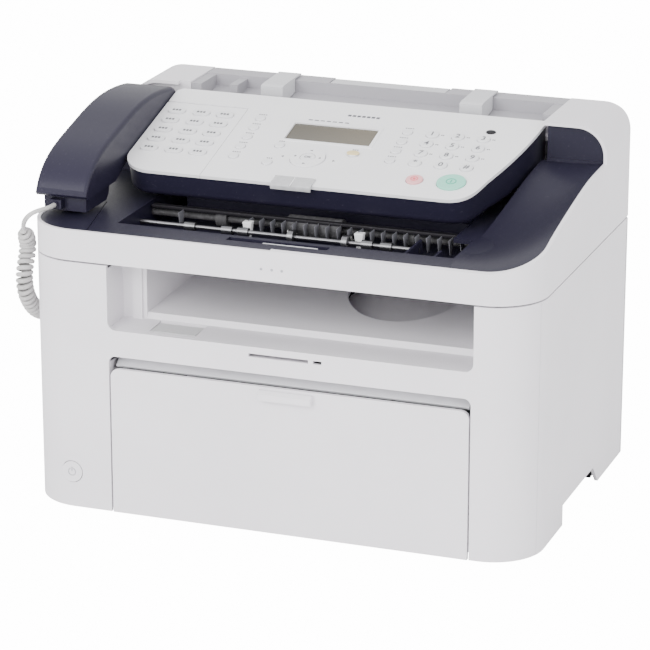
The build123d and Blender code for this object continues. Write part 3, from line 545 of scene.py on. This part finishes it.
cordLook = {
    "thick": 3.5,
    "coilRadius": 4.7,
    "pitch": 4.1,
    "stepsPerTurn": 14,
    "ease": 12.0,
    "lead": 40.0,
    "tail": 14.0,
}
cordRoute = (  # millimetres, from the handset's plug to the jack on the left side
    (-172.0, -96.4, 214.5), (-172.0, -103.0, 214.5), (-176.5, -108.0, 214.0), (-183.5, -111.0, 211.2),
    (-190.0, -108.5, 204.5), (-194.5, -101.0, 196.0), (-196.0, -90.0, 184.5), (-196.0, -92.5, 174.5),
    (-196.0, -97.5, 165.0), (-196.0, -98.5, 154.0), (-196.0, -93.5, 142.5), (-196.0, -82.0, 131.0),
    (-196.0, -64.0, 123.0), (-196.0, -42.0, 119.0), (-196.0, -19.0, 119.5), (-196.0, 4.0, 124.5),
    (-196.0, 26.0, 134.0), (-195.5, 43.5, 149.0), (-195.5, 43.5, 166.0), (-195.5, 43.5, 182.0),
)


def nurbsThrough(name, points, resolution):
    data = bpy.data.curves.new(name, "CURVE")
    data.dimensions = "3D"
    data.resolution_u = resolution
    spline = data.splines.new("NURBS")
    spline.points.add(len(points) - 1)
    for point, place in zip(spline.points, points):
        point.co = (*place, 1.0)
    spline.use_endpoint_u = True
    spline.order_u = 3
    made = bpy.data.objects.new(name, data)
    bpy.context.scene.collection.objects.link(made)
    return made


def lineOf(curve):
    # the smooth line of a curve as plain points
    bpy.context.view_layer.update()
    mesh = bpy.data.meshes.new_from_object(curve)
    points = [v.co.copy() for v in mesh.vertices]
    bpy.data.meshes.remove(mesh)
    return points


def curlyLine():
    # turns wound round the route, between its straight lead and tail
    route = nurbsThrough("cordRoute", [Vector(p) * mm for p in cordRoute], 24)
    line = lineOf(route)
    bpy.data.objects.remove(route)
    run = [0.0]
    for a, b in zip(line, line[1:]):
        run.append(run[-1] + (b - a).length)
    total = run[-1]
    leadLength = cordLook["lead"] * mm
    tailLength = cordLook["tail"] * mm
    step = cordLook["pitch"] * mm / cordLook["stepsPerTurn"]
    count = int(total / step)
    side = Vector((1.0, 0.0, 0.0))
    turned = 0.0
    place = 0
    wound = []
    for number in range(count + 1):
        distance = number * total / count
        while place < len(run) - 2 and run[place + 1] < distance:
            place += 1
        share = (distance - run[place]) / (run[place + 1] - run[place])
        here = line[place].lerp(line[place + 1], share)
        along = (line[place + 1] - line[place]).normalized()
        side = (side - along * side.dot(along)).normalized()
        inside = min(distance - leadLength, total - tailLength - distance) / (cordLook["ease"] * mm)
        swell = max(0.0, min(1.0, inside))
        swell = swell * swell * (3 - 2 * swell)
        if swell <= 0.0:
            if number % 7 == 0 or number == count:
                wound.append(here)
            continue
        turned += 2 * math.pi / cordLook["stepsPerTurn"]
        spoke = Matrix.Rotation(turned, 3, along) @ side
        wound.append(here + spoke * cordLook["coilRadius"] * mm * swell)
    return wound


helix = nurbsThrough("curlyCord", curlyLine(), 3)
centreLine = lineOf(helix)
helix.data.bevel_depth = cordLook["thick"] / 2 * mm
helix.data.bevel_resolution = 2
helix.data.use_fill_caps = True
pickOnly(helix)
bpy.ops.object.convert(target="MESH")
curlyCord = bpy.context.object
curlyCord.name = "curly_cord"
bpy.ops.object.shade_smooth()
curlyCord.data.materials.clear()
curlyCord.data.materials.append(finishes["cordSheath"])
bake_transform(curlyCord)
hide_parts("cord_leads", "cord_coil")


# Printed digits and marks

printLook = {
    "deep": 0.06,
    "digitSize": 7.0,
    "swell": 0.11,
    "columns": (62.0, 81.0, 100.0),
    "firstRow": 44.0,
    "rowStep": 13.6,
    "keyTop": 1.3,
}


def letterPiece(name, text, size, place, turn=onPanel):
    clearSelection()
    bpy.ops.object.text_add()
    made = bpy.context.object
    made.data.body = text
    made.data.size = size * mm
    made.data.extrude = printLook["deep"] / 2 * mm
    made.data.offset = printLook["swell"] * mm
    made.data.resolution_u = 3
    made.data.align_x = "CENTER"
    made.data.align_y = "CENTER"
    bpy.ops.object.convert(target="MESH")
    made = bpy.context.object
    made.name = name
    made.data.transform(Matrix.Translation([c * mm for c in place]))
    made.data.transform(turn)
    return made


keyRows = ("*0#", "789", "456", "123")
keyWords = {"*": "star", "#": "hash"}
for row, marks in enumerate(keyRows):
    for column, mark in enumerate(marks):
        word = keyWords.get(mark, mark)
        place = (
            printLook["columns"][column],
            printLook["firstRow"] + printLook["rowStep"] * row,
            printLook["keyTop"] + 0.01,
        )
        digit = letterPiece(f"digit_{word}", mark, printLook["digitSize"], place)
        settle(digit, "greyInk", f"key_{word}_body")


def flatMark(name, middle, size, turn=0.0, sides=4, top=0.0):
    # a thin raised print: dash, dot or arrow head
    clearSelection()
    bpy.ops.mesh.primitive_cylinder_add(
        vertices=sides, radius=0.5 * mm, depth=printLook["deep"] * mm,
        location=(0.0, 0.0, 0.0), rotation=(0.0, 0.0, math.radians(turn)),
    )
    made = bpy.context.object
    made.name = name
    bpy.ops.object.transform_apply(location=True, rotation=True, scale=True)
    low = [min(v.co[i] for v in made.data.vertices) for i in range(2)]
    high = [max(v.co[i] for v in made.data.vertices) for i in range(2)]
    made.data.transform(Matrix.Diagonal((
        size[0] * mm / (high[0] - low[0]), size[1] * mm / (high[1] - low[1]), 1.0, 1.0,
    )))
    height = top + printLook["deep"] / 2
    made.data.transform(Matrix.Translation((middle[0] * mm, middle[1] * mm, height * mm)))
    return made


def dashes(name, places, size):
    return [flatMark(f"{name}{i}", place, size, turn=45.0) for i, place in enumerate(places)]


markLook = {
    "touchColumns": (-134.0, -115.0, -96.5),
    "touchRows": [30.5 + 13.7 * i for i in range(5)],
    "functionColumn": -69.0,
    "leftColumn": 43.5,
    "numberRows": [44.0 + 13.6 * i for i in range(4)],
    "ring": (-15.2, 36.8),
    "ringReach": 9.2,
}
touchMarks = []
for x in markLook["touchColumns"]:
    for y in markLook["touchRows"]:
        for step in (-2.4, 0.0, 2.4):
            touchMarks.append(flatMark("touch", (x + step, y), (1.7, 2.2), 45.0, 4, printLook["keyTop"]))
settle(joinAll("one_touch_marks", touchMarks), "greyInk", "one_touch_keys_body", onPanel)

plateMarks = []
for y in markLook["touchRows"]:
    column = markLook["functionColumn"]
    plateMarks += dashes("function", [(column - 2.6 + 1.7 * k, y + 6.2) for k in range(4)], (1.0, 1.1))
for y in markLook["numberRows"]:
    column = markLook["leftColumn"]
    plateMarks += dashes("left", [(column - 3.0 + 1.7 * k, y + 6.4) for k in range(4)], (1.0, 1.0))
for x in printLook["columns"]:
    for y in markLook["numberRows"][1:]:
        plateMarks += dashes("letters", [(x + 6.6 + 1.3 * k, y + 1.0) for k in range(2)], (0.8, 1.2))
for x, y in ((-41.5, 57.0), (-42.0, 32.4), (15.0, 54.6)):
    plateMarks += dashes("menu", [(x - 2.0 + 1.6 * k, y) for k in range(3)], (1.0, 1.1))
plateMarks += dashes("legend", [(-32 + 4.6 * k, 90.5) for k in range(7)], (3.2, 1.2))
plateMarks += dashes("head", [(-6 + 3.6 * k, 101.5) for k in range(7)], (2.6, 2.4))
for x, y, turn in ((-34.0, markLook["ring"][1], 90.0), (4.0, markLook["ring"][1], -90.0)):
    plateMarks.append(flatMark("side", (x, y), (2.0, 2.4), turn, 3))
settle(joinAll("plate_marks", plateMarks), "greyInk", "control_panel", onPanel)

navX, navY = markLook["ring"]
reach = markLook["ringReach"]
navMarks = []
for name, step, size, turn in (
    ("up", (0.0, reach), (2.2, 1.8), 90.0),
    ("down", (0.0, -reach), (2.2, 1.8), -90.0),
    ("back", (-reach, 0.0), (1.8, 2.2), 180.0),
    ("next", (reach, 0.0), (1.8, 2.2), 0.0),
):
    place = (navX + step[0], navY + step[1])
    navMarks.append(flatMark(name, place, size, turn, 3, printLook["keyTop"]))
settle(joinAll("nav_marks", navMarks), "greyInk", "nav_ring_body", onPanel)
okMark = letterPiece("ok_mark", "OK", 3.4, (navX, navY, printLook["keyTop"] + 0.02))
settle(okMark, "greyInk", "ok_key_body")
print("printing ready")


# Panel details

panelPieces = {
    "screen": ((-42.0, 60.5), (22.5, 85.5)),
    "lamp": (102.0, 95.9),
    "oval": (15.0, 48.0),
    "tab": ((-29.0, -1.6), (1.0, 8.6)),
    "start": (95.5, 22.8),
    "stop": (69.0, 21.7),
}


def screenFrame():
    # a sloping border round the display's window
    (x0, y0), (x1, y1) = panelPieces["screen"]
    made = startBox("screen_frame", (x0 - 2.4, y0 - 2.4, -1.4), (x1 + 2.4, y1 + 2.4, 0.55))
    chooseFaces(made, lambda place, normal: abs(normal.z) > 0.9)
    bpy.ops.mesh.inset(thickness=2.6 * mm)
    bpy.ops.mesh.bridge_edge_loops()
    leaveEdit()
    soften(made, 0.3, 3)
    return settle(made, "platePlastic", "control_panel", onPanel)


screenFrame()


def screenGlass():
    (x0, y0), (x1, y1) = panelPieces["screen"]
    made = startBox("screen_glass", (x0 - 0.3, y0 - 0.3, -2.4), (x1 + 0.3, y1 + 0.3, -1.0))
    chooseFaces(made, lambda place, normal: normal.z > 0.9)
    bpy.ops.mesh.inset(thickness=1.2 * mm)
    bpy.ops.transform.translate(value=(0.0, 0.0, -0.15 * mm))
    leaveEdit()
    soften(made, 0.12, 2)
    return settle(made, "screen", "control_panel", onPanel)


screenGlass()


def lampWindow():
    x, y = panelPieces["lamp"]
    made = startRod("alarm_lamp", (x, y, -0.2), 3.6, 1.6)
    chooseFaces(made, lambda place, normal: normal.z > 0.9)
    bpy.ops.mesh.inset(thickness=0.7 * mm)
    bpy.ops.transform.translate(value=(0.0, 0.0, 0.25 * mm))
    leaveEdit()
    soften(made, 0.2, 2)
    there = Matrix.Translation((x * mm, y * mm, 0.0))
    made.data.transform(there @ Matrix.Diagonal((1.0, 0.75, 1.0, 1.0)) @ there.inverted())
    return settle(made, "innerPlastic", "control_panel", onPanel)


lampWindow()


def ovalCap():
    # oval cap on the small key beside the ring
    x, y = panelPieces["oval"]
    made = startRod("oval_cap", (0.0, 0.0, 1.3), 3.6, 0.8)
    chooseFaces(made, lambda place, normal: normal.z > 0.9)
    bpy.ops.mesh.inset(thickness=0.8 * mm)
    bpy.ops.transform.translate(value=(0.0, 0.0, 0.2 * mm))
    leaveEdit()
    soften(made, 0.25, 2)
    made.data.transform(Matrix.Translation((x * mm, y * mm, 0.0)) @ Matrix.Diagonal((1.3, 0.85, 1.0, 1.0)))
    return settle(made, "oilPlastic", "function_keys_body", onPanel)


ovalCap()


def frontTab():
    # clear tab that folds over the panel's front edge, with a groove down its middle
    (x0, y0), (x1, y1) = panelPieces["tab"]
    made = startBox("clear_tab", (x0, y0, 0.1), (x1, y1, 1.3))
    chooseFaces(made, lambda place, normal: normal.y < -0.9)
    bpy.ops.mesh.extrude_region_move(TRANSFORM_OT_translate={"value": (0.0, -1.6 * mm, -0.8 * mm)})
    bpy.ops.mesh.extrude_region_move(TRANSFORM_OT_translate={"value": (0.0, -0.5 * mm, -2.2 * mm)})
    leaveEdit()
    soften(made, 0.45, 3)
    middle = (x0 + x1) / 2
    groove = startBox("tab_groove", (middle - 0.35, y0 - 2.4, 1.1), (middle + 0.35, y1 - 1, 1.42))
    soften(groove, 0.12, 2)
    settle(groove, "platePlastic", "control_panel", onPanel)
    return settle(made, "clearTab", "control_panel", onPanel)


frontTab()


def keySigns():
    # signs on the start and stop keys, and the haloes printed round them
    x, y = panelPieces["start"]
    ring = startRing("start_sign", (x, y, 1.34), 3.4, 0.32)
    bar = startBox("start_bar", (x - 0.4, y - 2.0, 1.25), (x + 0.4, y + 2.0, 1.55))
    soften(bar, 0.1, 2)
    settle(joinAll("start_sign", [ring, bar]), "greenInk", "start_key_body", onPanel)
    x, y = panelPieces["stop"]
    ring = startRing("stop_sign", (x, y, 1.34), 2.4, 0.3)
    bar = startBox("stop_bar", (x - 0.9, y - 0.9, 1.25), (x + 0.9, y + 0.9, 1.5))
    soften(bar, 0.15, 2)
    settle(joinAll("stop_sign", [ring, bar]), "redInk", "stop_key_body", onPanel)


keySigns()
print("panel ready")


# Feed well behind the deck's front strip

wellLook = {
    "ribs": [-98.0] + [-45.0 + 8.2 * i for i in range(20)],
    "ribBack": -40.0,
    "ribTop": 203.5,
    "barEnds": (-122.5, 119.5),
    "barThick": 2.4,
    "barDeep": 5.0,
    "ribThick": 0.5,
    "ribReach": 9.0,
    "ribDrop": 11.5,
    "clips": (-45.0, 38.0),
    "clipWidth": 6.8,
    "clipY": (-52.5, -46.0),
    "clipZ": (192.0, 202.4),
    "springs": (-13.0, 29.0),
    "springTurns": 7,
    "springStep": 0.85,
    "springRadius": 2.0,
    "springWire": 0.56,
    "springMiddle": (-47.0, 197.0),
}


def feedRibs():
    # a dark bar across the well, with thin pale ribs that hold the sheet down
    y = wellLook["ribBack"]
    top = wellLook["ribTop"]
    left, right = wellLook["barEnds"]
    half = wellLook["barThick"] / 2
    bar = startBox("feed_bar", (left, y, top - half), (right, y + wellLook["barDeep"], top + half))
    soften(bar, 0.5, 2)
    settle(bar, "innerPlastic", "upper_unit")
    pieces = []
    for x in wellLook["ribs"]:
        side = wellLook["ribThick"] / 2
        low = (x - side, y - wellLook["ribReach"], top - wellLook["ribDrop"])
        rib = startBox("rib", low, (x + side, y + 2.0, top - 0.4))
        chooseFaces(rib, lambda place, normal: normal.z < -0.9)
        bpy.ops.transform.resize(value=(1.0, 0.45, 1.0))
        leaveEdit()
        soften(rib, 0.1, 2)
        pieces.append(rib)
    return settle(joinAll("feed_ribs", pieces), "ribPlastic", "upper_unit")


feedRibs()


def sheetClips():
    # white clips that hold the upper shaft
    pieces = []
    for x in wellLook["clips"]:
        side = wellLook["clipWidth"] / 2
        (y0, y1), (z0, z1) = wellLook["clipY"], wellLook["clipZ"]
        clip = startBox("clip", (x - side, y0, z0), (x + side, y1, z1))
        chooseFaces(clip, lambda place, normal: normal.z < -0.9)
        bpy.ops.transform.resize(value=(0.6, 0.7, 1.0))
        bpy.ops.mesh.extrude_region_move(TRANSFORM_OT_translate={"value": (0.0, -1.0 * mm, -2.0 * mm)})
        leaveEdit()
        soften(clip, 0.6, 3)
        pieces.append(clip)
    return settle(joinAll("shaft_clips", pieces), "keyPlastic", "upper_unit")


sheetClips()


def pressSprings():
    # small wire springs beside the wide roller
    pieces = []
    for x in wellLook["springs"]:
        turns = []
        for number in range(12 * wellLook["springTurns"]):
            angle = number * math.pi / 6
            across = x - 3.0 + wellLook["springStep"] * number / 12
            y = wellLook["springMiddle"][0] + wellLook["springRadius"] * math.cos(angle)
            z = wellLook["springMiddle"][1] + wellLook["springRadius"] * math.sin(angle)
            turns.append(Vector((across, y, z)) * mm)
        spring = nurbsThrough("spring", turns, 3)
        spring.data.bevel_depth = wellLook["springWire"] / 2 * mm
        spring.data.bevel_resolution = 1
        spring.data.use_fill_caps = True
        pickOnly(spring)
        bpy.ops.object.convert(target="MESH")
        bpy.ops.object.shade_smooth()
        pieces.append(bpy.context.object)
    return settle(joinAll("press_springs", pieces), "steel", "upper_unit")


pressSprings()


def deckSlotLight():
    # pale edge that shows inside the slot in front of the well
    made = startBox("slot_edge", (-13.0, -104.4, 204.2), (27.0, -103.2, 205.4))
    soften(made, 0.3, 2)
    return settle(made, "greyPlastic", "upper_unit")


deckSlotLight()
print("feed well ready")


# Front marks and the power sign

frontLook = {"dots": (-6.3, 1.4, 8.7), "dotHeight": 193.5, "power": (-150.6, 28.2)}


def bandDots():
    # the dots get grey ink as painted shade: they are small white bumps, and the shade that falls on them
    # is painted into their colour
    pieces = []
    for x in frontLook["dots"]:
        dot = startRod("dot", (x, -124.6, frontLook["dotHeight"]), 0.95, 0.6, (90.0, 0.0, 0.0), 20)
        soften(dot, 0.2, 2)
        pieces.append(dot)
    return settle(joinAll("band_dots", pieces), "softInk", "upper_unit")


bandDots()


def powerSign():
    x, z = frontLook["power"]
    ring = startRing("ring", (x, -124.9, z), 2.7, 0.28, (90.0, 0.0, 0.0))
    chooseFaces(ring, lambda place, normal: abs(place.x - x) < 1.0 and place.z > z)
    bpy.ops.mesh.delete(type="FACE")
    bpy.ops.mesh.select_mode(type="EDGE")
    bpy.ops.mesh.select_all(action="DESELECT")
    bpy.ops.mesh.select_non_manifold()
    bpy.ops.mesh.fill_holes(sides=0)
    leaveEdit()
    bar = startBox("bar", (x - 0.3, -125.15, z + 0.6), (x + 0.3, -124.7, z + 3.6))
    soften(bar, 0.1, 2)
    return settle(joinAll("power_sign", [ring, bar]), "softInk", "power_button_body")


powerSign()
print("front ready")


# Floor

def studioFloor():
    half = room["floorSize"] / 2 / mm
    made = startBox("floor", (-half, -half, -12.0), (half, half, 0.0))
    soften(made, 3.0, 2)
    look = Finish("floorPaper")
    tone = look.noise(1.2, 2.0)
    grain = look.noise(900.0, 2.0)
    look.set(
        Base_Color=look.blend(tone, shade(room["floorColour"], 0.995), room["floorColour"]),
        Roughness=look.ease(grain, 0.3, 0.7, 0.8, 0.9),
        Normal=look.bump(grain, 0.1, 0.02 * mm),
    )
    # bright to the camera only, so that the backdrop stays white without lighting the machine from below
    glow = look.node("ShaderNodeEmission", sockets={"Strength": room["floorGlow"]}, out="Emission")
    seen = look.node("ShaderNodeLightPath", out="Is Camera Ray")
    paper = Wire(look.tree, look.shader.outputs["BSDF"])
    mixed = look.node("ShaderNodeMixShader", sockets={0: seen * room["floorShare"], 1: paper, 2: glow})
    look.tree.links.new(mixed.socket, look.tree.nodes["Material Output"].inputs["Surface"])
    made.data.materials.clear()
    made.data.materials.append(look.material)


studioFloor()
